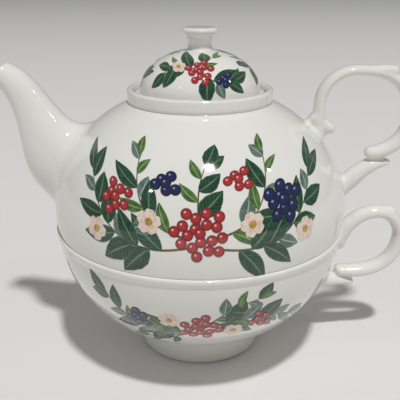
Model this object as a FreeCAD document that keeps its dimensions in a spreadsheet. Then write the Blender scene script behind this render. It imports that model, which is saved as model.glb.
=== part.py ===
import FreeCAD, Part
import math
import os
import re
import Sketcher

# Tea for one: a cup with a handle, a teapot that nests on the cup's rim, and the teapot's lid.
# All three are slip-cast and glazed earthenware. The spout points to -X, the handles to +X, and
# the origin is the centre of the cup's foot ring, on the table. Lengths are millimetres and
# angles are degrees, measured in the XZ plane from +X towards +Z.

SIZES = {
    # cup: an elliptical bowl on a flared foot ring, with a rolled lip
    "cup_height": 58.2,
    "cup_bowl_radius": 61.2,
    "cup_bowl_lift": 4.0,
    "cup_wall": 3.2,
    "cup_lip_out": 0.8,
    "cup_lip_drop": 3.4,
    "cup_lip_width": 3.6,
    "cup_lip_round": 1.2,
    "cup_foot_radius": 27.4,
    "cup_foot_width": 2.2,
    "cup_foot_flare": 2.2,
    "cup_foot_round": 0.8,
    "cup_foot_fillet": 2.0,
    # teapot: half an ellipsoid over a shallow base that drops into the cup
    "pot_inset": 0.2,
    "pot_waist_rise": 7.8,
    "pot_shoulder_rise": 49.7,
    "pot_base_drop": 20.2,
    "pot_wall": 3.2,
    "pot_seat_round": 0.8,
    "pot_foot_radius": 36.0,
    "pot_foot_width": 2.6,
    "pot_foot_drop": 1.8,
    "pot_foot_round": 0.8,
    # gallery: the raised ring round the mouth that the lid drops into
    "gallery_radius": 30.0,
    "gallery_width": 2.8,
    "gallery_undercut": 0.7,
    "gallery_step": 0.84,
    "gallery_rise": 4.5,
    "gallery_round": 1.2,
    "ledge_rise": 0.4,
    "ledge_width": 3.7,
    # lid: a hollow dome with a flange, a locating skirt, a vent and a waisted knob
    "lid_gap": 0.3,
    "lid_flange_thick": 2.2,
    "lid_flange_width": 2.2,
    "lid_flange_round": 0.7,
    "lid_skirt_gap": 0.6,
    "lid_skirt_wall": 2.3,
    "lid_skirt_depth": 6.5,
    "dome_rise": 17.4,
    "dome_thick": 3.0,
    "knob_neck_radius": 4.8,
    "knob_neck_rise": 1.6,
    "knob_flare": 6.5,
    "knob_flare_rise": 4.9,
    "knob_radius": 7.4,
    "knob_disc_rise": 5.6,
    "knob_top_rise": 6.6,
    "knob_rim": 1.6,
    "knob_dish": 0.5,
    "knob_round": 0.5,
    "knob_root": 4.0,
    "vent_radius": 1.2,
    "vent_back": 11.8,
    "vent_side": 4.2,
    # spout: its wall, how it blends into the pot, and the strainer holes behind it
    "spout_wall": 2.6,
    "spout_lip_wall": 1.7,
    "spout_lip_round": 0.6,
    "strainer_hole_radius": 1.9,
    "strainer_pitch": 6.4,
    "strainer_reach": 11.0,
    # how the branches of both handles end and flow into the wall
    "spur_round": 1.2,
    "tip_round": 2.2,
    "stub_round": 0.5,
}

# Stations of the spout. Each is an oval cut through it: how far its centre stands out from the
# teapot's radius, its height above the waist, its heading, and its full height and width.
SPOUT = [
    ("spout_root", -15.0, 13.3, 155.0, 37.2, 26.8),
    ("spout_start", -7.3, 16.5, 155.0, 38.0, 26.8),
    ("spout_swell", -0.4, 21.2, 146.0, 32.0, 24.8),
    ("spout_rise", 3.9, 28.5, 138.0, 25.6, 22.0),
    ("spout_waist", 6.6, 36.6, 130.0, 19.2, 18.0),
    ("spout_neck", 9.7, 43.9, 131.0, 15.4, 14.8),
    ("spout_throat", 13.8, 50.2, 140.0, 13.0, 12.8),
    ("spout_mouth", 21.2, 55.3, 129.0, 12.6, 12.0),
]

# The channel runs on a little past the mouth, so that it opens it.
SPOUT_PAST = [
    ("spout_past", 22.5, 56.9, 129.0, 12.6, 12.0),
]

# Branches of the handles, as rows of ovals: how far each centre stands out from the vessel's
# radius, its height, its heading, its thickness and its width. The height is from the foot of the
# gallery for the teapot's loop, spur and thorn, from the waist for its stub, and from the cup's rim.
POT_LOOP = [
    ("pot_loop_root", -12.6, -22.6, 90.0, 5.6, 9.0),
    ("pot_loop_upright", -12.6, -12.6, 90.0, 5.4, 8.8),
    ("pot_loop_rise", -12.6, -2.6, 90.0, 5.2, 8.6),
    ("pot_loop_shoulder", -8.6, 7.0, 45.0, 5.2, 8.6),
    ("pot_loop_top", 1.0, 11.0, 0.0, 5.2, 8.6),
    ("pot_loop_crest", 8.8, 11.0, 0.0, 5.2, 8.6),
    ("pot_loop_over", 21.4, 5.8, -45.0, 5.4, 8.6),
    ("pot_loop_side", 26.6, -6.8, -90.0, 5.8, 8.6),
    ("pot_loop_under", 21.9, -18.3, -135.0, 6.6, 8.8),
    ("pot_loop_tip", 8.8, -23.4, -180.0, 7.2, 8.8),
]
POT_SPUR = [
    ("pot_spur_start", 5.0, 10.9, 0.0, 4.6, 8.4),
    ("pot_spur_end", 19.3, 11.2, 0.0, 4.8, 8.4),
]
POT_THORN = [
    ("pot_thorn_start", -14.3, -8.1, -50.0, 7.0, 8.6),
    ("pot_thorn_end", -6.2, -14.0, -38.0, 5.4, 8.0),
]
POT_STUB = [
    ("pot_stub_start", -7.0, -0.6, 48.0, 9.0, 9.6),
    ("pot_stub_bend", 3.2, 9.2, 42.0, 8.4, 9.2),
    ("pot_stub_arm", 10.6, 15.4, 28.0, 6.6, 8.6),
    ("pot_stub_end", 19.6, 17.6, 10.0, 3.4, 5.4),
]
CUP_LOOP = [
    ("cup_loop_root", 1.0, -13.0, 90.0, 9.4, 9.8),
    ("cup_loop_rise", 5.4, -1.0, 45.0, 7.0, 9.0),
    ("cup_loop_top", 16.5, 3.4, 0.0, 6.8, 8.8),
    ("cup_loop_over", 24.4, 0.3, -45.0, 6.6, 8.8),
    ("cup_loop_side", 27.4, -7.0, -90.0, 6.6, 8.8),
    ("cup_loop_under", 22.1, -19.9, -135.0, 6.4, 8.8),
    ("cup_loop_bottom", 13.9, -24.6, -165.0, 6.4, 8.8),
    ("cup_loop_tip", 3.8, -25.2, -180.0, 6.4, 8.8),
]
CUP_SPUR = [
    ("cup_spur_start", 13.8, 3.6, 0.0, 5.0, 8.4),
    ("cup_spur_end", 24.4, 3.6, 0.0, 4.6, 8.4),
]
CUP_STUB = [
    ("cup_stub_start", -15.8, -31.8, 0.0, 8.2, 9.4),
    ("cup_stub_bend", -3.2, -31.0, 4.0, 6.4, 9.0),
    ("cup_stub_end", 9.8, -32.2, -6.0, 2.6, 5.4),
]

for stations in (
    SPOUT, SPOUT_PAST, POT_LOOP, POT_SPUR, POT_THORN, POT_STUB, CUP_LOOP, CUP_SPUR, CUP_STUB
):
    for station, *numbers in stations:
        for part, number in zip(("reach", "rise", "heading", "tall", "wide"), numbers):
            SIZES[station + "_" + part] = number

# Sizes that follow from the ones above, as rules. The cup's lip, the teapot that sits on it and is
# as wide, the gallery that stands where the shoulder has risen to, the mouth and the ledge in it.
CUP_LIP = "cup_bowl_radius + cup_lip_out"
POT = CUP_LIP + " - pot_inset"
WAIST = "cup_height + pot_waist_rise"
POT_FOOT_HEIGHT = WAIST + " - pot_base_drop - pot_foot_drop"
GALLERY_SEAT = "gallery_radius - gallery_undercut"
GALLERY_FOOT = WAIST + " + rise_at_gallery + gallery_step"
GALLERY_TOP = GALLERY_FOOT + " + gallery_rise"
LEDGE = GALLERY_FOOT + " + ledge_rise"
MOUTH = "gallery_radius - gallery_width - ledge_width"

# What a branch of a handle is placed from: its vessel's radius, and the height of the cup's rim,
# the teapot's waist or the gallery's foot.
ON_CUP = (CUP_LIP, "cup_height")
ON_WAIST = (POT, WAIST)
ON_SHOULDER = (POT, GALLERY_FOOT)

doc = FreeCAD.newDocument("tea_for_one")
sheet = doc.addObject("Spreadsheet::Sheet", "sizes")
for row, (alias, number) in enumerate(SIZES.items(), start=1):
    sheet.set("A%d" % row, alias)
    sheet.set("B%d" % row, str(number))
    sheet.setAlias("B%d" % row, alias)
doc.recompute()


# A rule is a sum or difference of named sizes, numbers and products of them, such as
# "cup_height - 2 * cup_wall". The one name in it that isn't a size is rise_at_gallery, which the
# curve of the shoulder gives.
def amount(rule):
    total = 0.0
    for term in rule.replace(" - ", " + -").split(" + "):
        product = -1.0 if term.startswith("-") else 1.0
        for factor in term.lstrip("-").split(" * "):
            product *= value_of(factor)
        total += product
    return total


def value_of(factor):
    if factor == "rise_at_gallery":
        share = amount(GALLERY_SEAT) / amount(POT)
        return SIZES["pot_shoulder_rise"] * math.sqrt(1 - share * share)
    return SIZES[factor] if factor in SIZES else float(factor)


def bound(rule):
    return re.sub(r"[a-z][a-z_]+", lambda word: cell_of(word.group()), rule)


def cell_of(name):
    if name == "rise_at_gallery":
        share = "(%s) / (%s)" % (bound(GALLERY_SEAT), bound(POT))
        return "sizes.pot_shoulder_rise * sqrt(1 - (%s) ^ 2)" % share
    return "sizes." + name


def negative(rule):
    signs = {" + ": " - ", " - ": " + "}
    return "0 - " + re.sub(r" [+-] ", lambda sign: signs[sign.group()], rule)


def twice(rule):
    return "2 * " + rule.replace(" - ", " - 2 * ").replace(" + ", " + 2 * ")


def vector(x, y, z=0.0):
    return FreeCAD.Vector(x, y, z)


def new_body(name):
    body = doc.addObject("PartDesign::Body", name)
    body.Label = name
    return body


def new_sketch(body, name, role):
    sketch = body.newObject("Sketcher::SketchObject", name)
    planes = [f for f in body.Origin.OriginFeatures if f.Role == role]
    sketch.AttachmentSupport = [(planes[0], "")]
    sketch.MapMode = "FlatFace"
    return sketch


def measure(sketch, rule, kind, *places):
    number = sketch.addConstraint(Sketcher.Constraint(kind, *places, amount(rule)))
    sketch.setExpression("Constraints[%d]" % number, bound(rule))


def join(sketch, kind, *places):
    sketch.addConstraint(Sketcher.Constraint(kind, *places))


def pin(sketch, geometry, end, across=None, up=None):
    """Holds a point at a distance across from the axis, at a height, or both."""
    if across == "0":
        join(sketch, "PointOnObject", geometry, end, -2)
    elif across:
        measure(sketch, across, "DistanceX", -1, 1, geometry, end)
    if up:
        measure(sketch, up, "DistanceY", -1, 1, geometry, end)


class Flare:
    """A concave stretch of an outline on a circle that touches a neck, seen from the axis."""

    def __init__(self, neck, radius, centre):
        self.neck, self.radius, self.centre = neck, radius, centre

    def across_at(self, height):
        rise = height - amount(self.centre)
        return amount(self.neck) + amount(self.radius) - math.sqrt(amount(self.radius) ** 2 - rise * rise)

    def draw(self, sketch, start, end):
        centre = vector(amount(self.neck) + amount(self.radius), amount(self.centre))
        first, last = (math.atan2(z - centre.y, x - centre.x) % (2 * math.pi) for x, z in (start, end))
        backwards = first > last
        circle = Part.Circle(centre, vector(0, 0, 1), amount(self.radius))
        arc = sketch.addGeometry(Part.ArcOfCircle(circle, min(first, last), max(first, last)), False)
        pin(sketch, arc, 3, self.neck + " + " + self.radius, self.centre)
        measure(sketch, self.radius, "Radius", arc)
        return (arc, 2, 1) if backwards else (arc, 1, 2)


class Ellipse:
    """A stretch of an outline that follows an ellipse centred on the vessel's axis, above its
    centre (side 1) or below it (side -1). Without a free radius, its end point sets it."""

    def __init__(self, centre, radius, rise, side, free=True):
        self.centre, self.radius, self.rise = centre, radius, rise
        self.side, self.free = side, free

    def height_at(self, across):
        share = across / amount(self.radius)
        return amount(self.centre) + self.side * amount(self.rise) * math.sqrt(1 - share * share)

    def across_at(self, height):
        share = (height - amount(self.centre)) / amount(self.rise)
        return amount(self.radius) * math.sqrt(1 - share * share)

    def draw(self, sketch, start, end):
        centre = vector(0, amount(self.centre))
        far, high = amount(self.radius), amount(self.rise)
        flat = far >= high
        if flat:
            whole = Part.Ellipse(centre + vector(far, 0), centre + vector(0, high), centre)
        else:
            whole = Part.Ellipse(centre + vector(0, high), centre - vector(far, 0), centre)
        first, last = (whole.parameter(vector(*point)) for point in (start, end))
        backwards = (last - first) % (2 * math.pi) > math.pi
        if backwards:
            first, last = last, first
        arc = sketch.addGeometry(Part.ArcOfEllipse(whole, first, last), False)
        sketch.exposeInternalGeometry(arc)
        level, upright = (arc + 1, arc + 2) if flat else (arc + 2, arc + 1)
        pin(sketch, arc, 3, "0", self.centre)
        join(sketch, "Horizontal", level)
        if self.free:
            measure(sketch, twice(self.radius), "Distance", level)
        measure(sketch, twice(self.rise), "Distance", upright)
        return (arc, 2, 1) if backwards else (arc, 1, 2)


def draw_outline(sketch, corners):
    """Draws a closed outline. A corner is its place across, its height, and what leads on from it:
    None for a straight line, or an Ellipse. A place that an ellipse settles may be None."""
    points = []
    for index, (across, up, edge) in enumerate(corners):
        curve = edge or corners[index - 1][2]
        x = amount(across) if across else curve.across_at(amount(up))
        z = amount(up) if up else curve.height_at(x)
        points.append((x, z))
    drawn = []
    for index, (across, up, edge) in enumerate(corners):
        start, end = points[index], points[(index + 1) % len(points)]
        if edge:
            drawn.append(edge.draw(sketch, start, end))
        else:
            line = sketch.addGeometry(Part.LineSegment(vector(*start), vector(*end)), False)
            drawn.append((line, 1, 2))
        pin(sketch, drawn[-1][0], drawn[-1][1], across, up)
    for one, following in zip(drawn, drawn[1:] + drawn[:1]):
        join(sketch, "Coincident", one[0], one[2], following[0], following[1])


def turn(body, kind, name, corners):
    """Revolves an outline about the vessel's axis, as a solid or as a cut."""
    sketch = new_sketch(body, name + "_outline", "YZ_Plane")
    draw_outline(sketch, corners)
    feature = body.newObject("PartDesign::" + kind, name)
    feature.Profile = (sketch, [""])
    feature.ReferenceAxis = (sketch, ["V_Axis"])
    feature.Angle = 360
    doc.recompute()
    return feature


def oval(body, name, across, up, heading, tall, wide):
    """An elliptical section across a spout or a branch: tall in the XZ plane, wide along Y."""
    sketch = new_sketch(body, name, "XY_Plane")
    sketch.AttachmentOffset = FreeCAD.Placement(
        vector(amount(across), 0, amount(up)),
        FreeCAD.Rotation(vector(0, 1), 90 - amount(heading)),
    )
    sketch.setExpression("AttachmentOffset.Base.x", bound(across))
    sketch.setExpression("AttachmentOffset.Base.z", bound(up))
    sketch.setExpression("AttachmentOffset.Rotation.Angle", "90 - (%s)" % bound(heading))
    along, beside = amount(tall) / 2, amount(wide) / 2
    upright = along >= beside
    if upright:
        curve = Part.Ellipse(vector(along, 0), vector(0, beside), vector(0, 0))
    else:
        curve = Part.Ellipse(vector(0, beside), vector(-along, 0), vector(0, 0))
    sketch.addGeometry(curve, False)
    sketch.exposeInternalGeometry(0)
    join(sketch, "Coincident", 0, 3, -1, 1)
    join(sketch, "Horizontal" if upright else "Vertical", 1)
    measure(sketch, tall if upright else wide, "Distance", 1)
    measure(sketch, wide if upright else tall, "Distance", 2)
    return sketch


def loft(body, name, sections):
    feature = body.newObject("PartDesign::AdditiveLoft", name)
    feature.Profile = (sections[0], [""])
    feature.Sections = [(section, [""]) for section in sections[1:]]
    doc.recompute()
    return feature


def round_edges(body, name, radius, edges):
    """Rounds or fills the named edges of the body's last feature."""
    feature = body.newObject("PartDesign::Fillet", name)
    feature.Base = (body.Tip if body.Tip != feature else feature.BaseFeature, edges)
    feature.setExpression("Radius", bound(radius))
    doc.recompute()
    return feature


def samples(edge):
    first, last = edge.ParameterRange
    return [edge.valueAt(first + (last - first) * share / 8) for share in range(9)]


def edges_where(feature, test):
    edges = enumerate(feature.Shape.Edges, start=1)
    return ["Edge%d" % number for number, edge in edges if all(test(p) for p in samples(edge))]


def ring(height=None, radius=None):
    """Picks points on a circle about the axis, at a height, of a radius, or both."""
    return lambda p: (height is None or abs(p.z - amount(height)) < 0.01) and (
        radius is None or abs(math.hypot(p.x, p.y) - amount(radius)) < 0.01
    )


def round_end(body, name, depth, across, up, heading, tall, wide):
    """Rounds the free end of a branch with a half ellipsoid a hair inside the branch's own oval."""
    cap = body.newObject("PartDesign::AdditiveEllipsoid", name)
    planes = [f for f in body.Origin.OriginFeatures if f.Role == "XY_Plane"]
    cap.AttachmentSupport = [(planes[0], "")]
    cap.MapMode = "FlatFace"
    cap.setExpression("AttachmentOffset.Base.x", bound(across))
    cap.setExpression("AttachmentOffset.Base.z", bound(up))
    cap.AttachmentOffset = FreeCAD.Placement(
        vector(amount(across), 0, amount(up)),
        FreeCAD.Rotation(vector(0, 1), 90 - amount(heading)),
    )
    cap.setExpression("AttachmentOffset.Rotation.Angle", "90 - (%s)" % bound(heading))
    cap.setExpression("Radius1", bound(depth))
    cap.setExpression("Radius2", "0.49 * " + bound(tall))
    cap.setExpression("Radius3", "0.49 * " + bound(wide))
    doc.recompute()
    return cap


def end_face(across, up, heading, tall, wide):
    """Picks points on the flat end of a spout."""
    centre = vector(amount(across), 0, amount(up))
    slope = math.radians(amount(heading))
    along = vector(math.cos(slope), 0, math.sin(slope))
    reach = max(amount(tall), amount(wide)) / 2 + 0.1
    return lambda p: abs((p - centre).dot(along)) < 0.01 and (p - centre).Length < reach


def placed(station, vessel):
    """The rules of a station's oval, on a vessel of this radius, above this height."""
    radius, datum = vessel
    across = radius + " + " + station + "_reach"
    up = datum + " + " + station + "_rise"
    return across, up, station + "_heading", station + "_tall", station + "_wide"


def branch(body, stations, vessel, rounding):
    """A straight or tapering branch of a handle, with its free end rounded."""
    rules = [placed(station, vessel) for station, *_ in stations]
    ovals = [oval(body, station, *rule) for (station, *_), rule in zip(stations, rules)]
    loft(body, stations[0][0] + "_branch", ovals)
    round_end(body, stations[-1][0] + "_round", rounding, *rules[-1])
    return rules


def attach(body, name, piece):
    """Joins a handle or a spout to the wall that it grows from."""
    feature = body.newObject("PartDesign::Boolean", name)
    feature.Type = "Fuse"
    feature.setObjects([piece])
    doc.recompute()
    return feature


def make_cup():
    """The cup: bowl, foot ring and lip turned as one, its handle luted on, then its hollow."""
    handle = new_body("cup_handle")
    root, *_ = branch(handle, CUP_LOOP, ON_CUP, "tip_round")
    round_end(handle, "cup_loop_root_round", "tip_round", *root)
    branch(handle, CUP_STUB, ON_CUP, "stub_round")
    branch(handle, CUP_SPUR, ON_CUP, "spur_round")

    cup = new_body("cup")
    lip_start = "cup_height - cup_lip_drop"
    lip_belly = "cup_height - 0.5 * cup_lip_drop"
    wall = Ellipse("cup_height", "cup_bowl_radius", "cup_height - cup_bowl_lift", -1)
    turned = turn(cup, "Revolution", "cup_turned", [
        ("0", None, wall),
        ("cup_foot_radius - cup_foot_width", None, None),
        ("cup_foot_radius - cup_foot_width", "0", None),
        ("cup_foot_radius", "0", None),
        ("cup_foot_radius + cup_foot_flare", None, wall),
        (None, lip_start, None),
        (CUP_LIP, lip_belly, None),
        (CUP_LIP, "cup_height", None),
        ("0", "cup_height", None),
    ])
    creases = edges_where(turned, ring(radius="cup_foot_radius + cup_foot_flare"))
    round_edges(cup, "cup_foot_crease", "cup_foot_fillet", creases)
    round_edges(cup, "cup_lip_crease", "2 * cup_lip_round", edges_where(cup.Tip, ring(height=lip_start)))
    round_edges(cup, "cup_lip_belly", "cup_lip_round", edges_where(cup.Tip, ring(height=lip_belly)))
    attach(cup, "cup_with_handle", handle)

    depth = "cup_height - cup_bowl_lift - cup_wall"
    hollow = Ellipse("cup_height", "cup_bowl_radius - cup_wall", depth, -1)
    turn(cup, "Groove", "cup_hollow", [
        ("0", None, hollow),
        (None, lip_start, None),
        (CUP_LIP + " - cup_lip_width", lip_belly, None),
        (CUP_LIP + " - cup_lip_width", "cup_height + cup_wall", None),
        ("0", "cup_height + cup_wall", None),
    ])
    round_edges(cup, "cup_rim", "cup_lip_round", edges_where(cup.Tip, ring(height="cup_height")))
    round_edges(cup, "cup_foot", "cup_foot_round", edges_where(cup.Tip, ring(height="0")))
    return cup


def spout_rules(station, wall=None):
    """The rules of one oval of the spout, or of the channel that a wall leaves inside it."""
    across = negative(POT + " + " + station + "_reach")
    up = WAIST + " + " + station + "_rise"
    taken = " - 2 * " + wall if wall else ""
    return across, up, station + "_heading", station + "_tall" + taken, station + "_wide" + taken


def make_teapot():
    """The teapot: turned form with spout and handle luted on, then its hollow, channel and holes."""
    handle = new_body("pot_handle")
    branch(handle, POT_LOOP, ON_SHOULDER, "tip_round")
    branch(handle, POT_THORN, ON_SHOULDER, "stub_round")
    branch(handle, POT_SPUR, ON_SHOULDER, "spur_round")
    stub = new_body("pot_handle_stub")
    branch(stub, POT_STUB, ON_WAIST, "stub_round")

    spout = new_body("spout")
    loft(spout, "spout_outside", [oval(spout, name, *spout_rules(name)) for name, *_ in SPOUT])

    pot = new_body("teapot")
    base = Ellipse(WAIST, POT, "pot_base_drop", -1)
    shoulder = Ellipse(WAIST, POT, "pot_shoulder_rise", 1)
    outline = [
        ("0", None, base),
        ("pot_foot_radius - pot_foot_width", None, None),
        ("pot_foot_radius - pot_foot_width", POT_FOOT_HEIGHT, None),
        ("pot_foot_radius", POT_FOOT_HEIGHT, None),
        ("pot_foot_radius", None, base),
        (None, "cup_height", None),
        (None, "cup_height", shoulder),
        (GALLERY_SEAT, None, None),
        ("gallery_radius", GALLERY_FOOT, None),
        ("gallery_radius", GALLERY_TOP, None),
        ("0", GALLERY_TOP, None),
    ]
    turned = turn(pot, "Revolution", "pot_turned", outline)
    seat_edge = "%.4f" % shoulder.across_at(amount("cup_height"))
    seat = edges_where(turned, ring(height="cup_height", radius=seat_edge))
    round_edges(pot, "pot_seat", "pot_seat_round", seat)
    attach(pot, "pot_with_spout", spout)
    attach(pot, "pot_with_handle", handle)
    attach(pot, "pot_with_stub", stub)

    inside = POT + " - pot_wall"
    inner_base = Ellipse(WAIST, inside, "pot_base_drop - pot_wall", -1, free=False)
    inner_shoulder = Ellipse(WAIST, inside, "pot_shoulder_rise - pot_wall", 1)
    gallery_inside = "gallery_radius - gallery_width"
    turn(pot, "Groove", "pot_hollow", [
        ("0", None, inner_base),
        (None, WAIST, inner_shoulder),
        (MOUTH, None, None),
        (MOUTH, LEDGE, None),
        (gallery_inside, LEDGE, None),
        (gallery_inside, GALLERY_TOP + " + gallery_width", None),
        ("0", GALLERY_TOP + " + gallery_width", None),
    ])

    channel = new_body("spout_channel")
    stations = [(name, "spout_wall") for name, *_ in SPOUT[:-1]]
    stations += [(name, "spout_lip_wall") for name, *_ in SPOUT[-1:] + SPOUT_PAST]
    rules = [(name, spout_rules(name, wall)) for name, wall in stations]
    loft(channel, "spout_inside", [oval(channel, name + "_inside", *rule) for name, rule in rules])
    turn(channel, "Groove", "strainer_wall", outline)
    attach(pot, "pot_with_channel", channel)
    pot.Tip.Type = "Cut"
    doc.recompute()
    drill_strainer(pot)

    lip = edges_where(pot.Tip, end_face(*spout_rules("spout_mouth")))
    round_edges(pot, "spout_lip", "spout_lip_round", lip)
    round_edges(pot, "gallery_top", "gallery_round", edges_where(pot.Tip, ring(height=GALLERY_TOP)))
    round_edges(pot, "pot_foot", "pot_foot_round", edges_where(pot.Tip, ring(height=POT_FOOT_HEIGHT)))
    return pot


def drill_strainer(body):
    """Nine holes through the wall behind the spout: one, six round it, one above and one below."""
    across, up, heading, *_ = spout_rules("spout_start")
    sketch = new_sketch(body, "strainer_holes", "XY_Plane")
    slope = FreeCAD.Rotation(vector(0, 1), 90 - amount(heading))
    sketch.AttachmentOffset = FreeCAD.Placement(vector(amount(across), 0, amount(up)), slope)
    sketch.setExpression("AttachmentOffset.Base.x", bound(across))
    sketch.setExpression("AttachmentOffset.Base.z", bound(up))
    sketch.setExpression("AttachmentOffset.Rotation.Angle", "90 - (%s)" % bound(heading))
    spots = [(0.0, 0.0), (2.0, 0.0), (-2.0, 0.0)]
    spots += [(math.sin(math.radians(a)), math.cos(math.radians(a))) for a in range(0, 360, 60)]
    for along, beside in spots:
        pitch = SIZES["strainer_pitch"]
        centre = vector(along * pitch, beside * pitch)
        hole = sketch.addGeometry(Part.Circle(centre, vector(0, 0, 1), SIZES["strainer_hole_radius"]))
        pin_share(sketch, hole, "DistanceX", along)
        pin_share(sketch, hole, "DistanceY", beside)
        measure(sketch, "strainer_hole_radius", "Radius", hole)
    drill = body.newObject("PartDesign::Pocket", "strainer")
    drill.Profile = (sketch, [""])
    drill.SideType = "Symmetric"
    drill.setExpression("Length", bound("strainer_reach"))
    doc.recompute()
    return drill


def pin_share(sketch, hole, kind, share):
    """Holds a hole at a share of the strainer's pitch from the middle one."""
    if abs(share) < 0.001:
        middle = -2 if kind == "DistanceX" else -1
        join(sketch, "PointOnObject", hole, 3, middle)
    else:
        measure(sketch, "%.4f * strainer_pitch" % share, kind, -1, 1, hole, 3)


def make_lid():
    """The lid: a hollow dome with flange and skirt, the knob on top of it, and its vent."""
    lid = new_body("lid")
    datum = LEDGE + " + lid_flange_thick"
    neck = datum + " + dome_rise + knob_neck_rise"
    flange = "gallery_radius - gallery_width - lid_gap"
    skirt = MOUTH + " - lid_skirt_gap"
    skirt_inside = skirt + " - lid_skirt_wall"
    skirt_foot = LEDGE + " - lid_skirt_depth"
    dome = Ellipse(datum, flange + " - lid_flange_width", "dome_rise", 1)
    hollow = Ellipse(datum, skirt_inside, "dome_rise - dome_thick", 1, free=False)
    turn(lid, "Revolution", "lid_dome", [
        ("0", None, dome),
        (None, datum, None),
        (flange, datum, None),
        (flange, LEDGE, None),
        (skirt, LEDGE, None),
        (skirt, skirt_foot, None),
        (skirt_inside, skirt_foot, None),
        (skirt_inside, datum, hollow),
        ("0", None, None),
    ])
    knob_foot = neck + " - knob_root"
    flare = Flare("knob_neck_radius", "knob_flare", neck)
    turn(lid, "Revolution", "lid_knob", [
        ("0", knob_foot, None),
        (None, knob_foot, flare),
        (None, neck + " + knob_flare_rise", None),
        ("knob_radius", neck + " + knob_disc_rise", None),
        ("knob_radius", neck + " + knob_top_rise", None),
        ("knob_radius - knob_rim", neck + " + knob_top_rise", None),
        ("0", neck + " + knob_top_rise - knob_dish", None),
    ])
    vent = lid.newObject("PartDesign::SubtractiveCylinder", "vent")
    planes = [f for f in lid.Origin.OriginFeatures if f.Role == "XY_Plane"]
    vent.AttachmentSupport = [(planes[0], "")]
    vent.MapMode = "FlatFace"
    vent.setExpression("AttachmentOffset.Base.x", bound("vent_side"))
    vent.setExpression("AttachmentOffset.Base.y", bound("vent_back"))
    vent.setExpression("AttachmentOffset.Base.z", bound(datum))
    vent.setExpression("Radius", bound("vent_radius"))
    vent.setExpression("Height", bound("dome_rise"))
    doc.recompute()
    edges = edges_where(lid.Tip, ring(height=datum, radius=flange))
    round_edges(lid, "lid_flange_edge", "lid_flange_round", edges)
    edges = edges_where(lid.Tip, ring(height=neck + " + knob_top_rise", radius="knob_radius"))
    round_edges(lid, "knob_edge", "knob_round", edges)
    return lid


def check(node):
    bad = [o.Name for o in doc.Objects if "Invalid" in o.State or "Error" in o.State]
    bad += [o.Name for o in doc.Objects if hasattr(o, "Shape") and o.Shape.isNull()]
    if bad:
        raise RuntimeError("these objects failed: " + ", ".join(bad))
    shape = node.Shape
    if not shape.isValid() or len(shape.Solids) != 1:
        raise RuntimeError(node.Label + " isn't one valid solid")


os.makedirs("parts", exist_ok=True)
for node in (make_cup(), make_teapot(), make_lid()):
    check(node)
    node.Shape.exportStep("parts/" + node.Label + ".step")
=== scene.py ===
import math

import bmesh
import bpy
from mathutils import Matrix, Vector
from mathutils.kdtree import KDTree


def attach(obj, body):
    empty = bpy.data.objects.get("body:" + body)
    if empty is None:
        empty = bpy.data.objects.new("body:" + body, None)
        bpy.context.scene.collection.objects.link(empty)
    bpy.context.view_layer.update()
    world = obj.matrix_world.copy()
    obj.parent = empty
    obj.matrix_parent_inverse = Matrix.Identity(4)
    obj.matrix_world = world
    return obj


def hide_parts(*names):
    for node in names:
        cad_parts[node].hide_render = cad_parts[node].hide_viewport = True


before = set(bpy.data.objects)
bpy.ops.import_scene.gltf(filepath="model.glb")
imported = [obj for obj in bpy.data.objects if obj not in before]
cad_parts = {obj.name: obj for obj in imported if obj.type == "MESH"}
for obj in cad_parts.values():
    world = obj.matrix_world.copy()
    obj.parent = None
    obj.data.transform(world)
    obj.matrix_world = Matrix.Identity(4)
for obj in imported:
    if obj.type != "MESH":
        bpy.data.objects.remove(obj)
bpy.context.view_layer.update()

# The cup: a round bowl on a flared foot ring, slip-cast in white earthenware, with a handle like a
# bent branch stuck on with slip before firing. It is glazed all over but for the ring it stands on,
# and the flat top of its rolled lip carries the teapot.
CUP_HEIGHT = 0.0582
CUP_RADIUS, CUP_DEPTH, CUP_WALL = 0.0612, 0.0542, 0.0032
CUP_LIP_RADIUS, CUP_LIP_WIDTH, CUP_LIP_DROP = 0.0620, 0.0036, 0.0034
CUP_FOOT_RADIUS, CUP_FOOT_WIDTH, CUP_FOOT_FLARE = 0.0274, 0.0022, 0.0022
CUP_EDGE, CUP_SEAT_EDGE = 0.0014, 0.0009
GLAZE_PALE, GLAZE_DEEP = (0.83, 0.82, 0.775), (0.785, 0.77, 0.715)
GLAZE_ROUGHNESS, GLAZE_IOR, GLAZE_COAT, GLAZE_COAT_ROUGHNESS = 0.07, 1.52, 0.6, 0.03
WAVE_SCALE, WAVE_STRENGTH, WAVE_HEIGHT, POOL_SCALE = 60.0, 0.12, 0.0004, 34.0
BISCUIT_COLOUR, BISCUIT_ROUGHNESS = (0.74, 0.70, 0.62), 0.75
TURN_STEPS, SEAM_MERGE = 192, 0.000004


def glaze_flow():
    """The faint waviness and thickness changes of a dipped glaze, as height and as a mask."""
    group = bpy.data.node_groups.new("glaze_flow", "ShaderNodeTree")
    group.interface.new_socket("Scale", in_out="INPUT", socket_type="NodeSocketFloat")
    group.interface.new_socket("Height", in_out="OUTPUT", socket_type="NodeSocketFloat")
    group.interface.new_socket("Pooling", in_out="OUTPUT", socket_type="NodeSocketFloat")
    nodes, links = group.nodes, group.links
    entry, leave = nodes.new("NodeGroupInput"), nodes.new("NodeGroupOutput")
    place = nodes.new("ShaderNodeTexCoord")
    swell = nodes.new("ShaderNodeTexNoise")
    swell.inputs["Detail"].default_value = 1.5
    pool = nodes.new("ShaderNodeTexNoise")
    pool.inputs["Scale"].default_value = POOL_SCALE
    pool.inputs["Detail"].default_value = 3.0
    links.new(place.outputs["Object"], swell.inputs["Vector"])
    links.new(place.outputs["Object"], pool.inputs["Vector"])
    links.new(entry.outputs["Scale"], swell.inputs["Scale"])
    links.new(swell.outputs["Fac"], leave.inputs["Height"])
    links.new(pool.outputs["Fac"], leave.inputs["Pooling"])
    return group


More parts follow.
